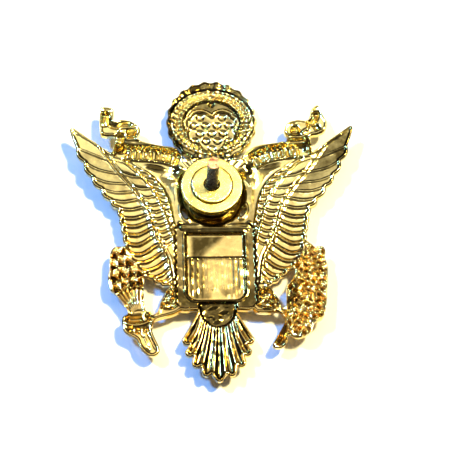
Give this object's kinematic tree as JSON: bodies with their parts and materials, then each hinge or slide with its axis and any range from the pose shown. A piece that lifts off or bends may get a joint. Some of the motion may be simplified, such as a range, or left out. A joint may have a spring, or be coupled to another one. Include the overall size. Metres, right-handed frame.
{
  "type": "cap badge",
  "caption": "Pierced struck-metal eagle badge with a hollow back, a soldered plate, a threaded post and a knurled thumb nut that screws along the post.",
  "frame": {"origin": "under the middle of the badge, on the surface that its face rests on", "axes": "+X across the wings, towards the branch side, +Y from the tail to the ring above the eagle, +Z along the post, away from the face"},
  "size_m": [0.0584, 0.0659, 0.0161],
  "materials": {
    "gilt_shell": "bright gilt",
    "tarnished_plate": "tarnished",
    "solder": "dull soft solder",
    "post": "darkened thread, bare copper-coloured end",
    "nut": "satin, fine grain"
  },
  "bodies": {
    "badge": {"eagle_shell": "gilt_shell", "post_plate": "tarnished_plate", "plate_solder": "solder", "screw_post": "post", "post_solder": "solder"},
    "nut_core": {"nut_centre": "nut"},
    "nut": {"nut_ring": "nut"}
  },
  "joints": [
    {"name": "nut_travel", "type": "slide", "parent": "badge", "child": "nut_core", "axis": [0, 0, 1], "range_m": [0, 0.01113]},
    {"name": "nut_turn", "type": "hinge", "parent": "nut_core", "child": "nut", "pos_m": [-0.00045, 0.00787, 0.0051], "axis": [0, 0, 1], "range_deg": [0, 7560]}
  ],
  "couplings": [
    {"joint": "nut_travel", "follows": "nut_turn", "m_per_rad": 0.000084352}
  ]
}
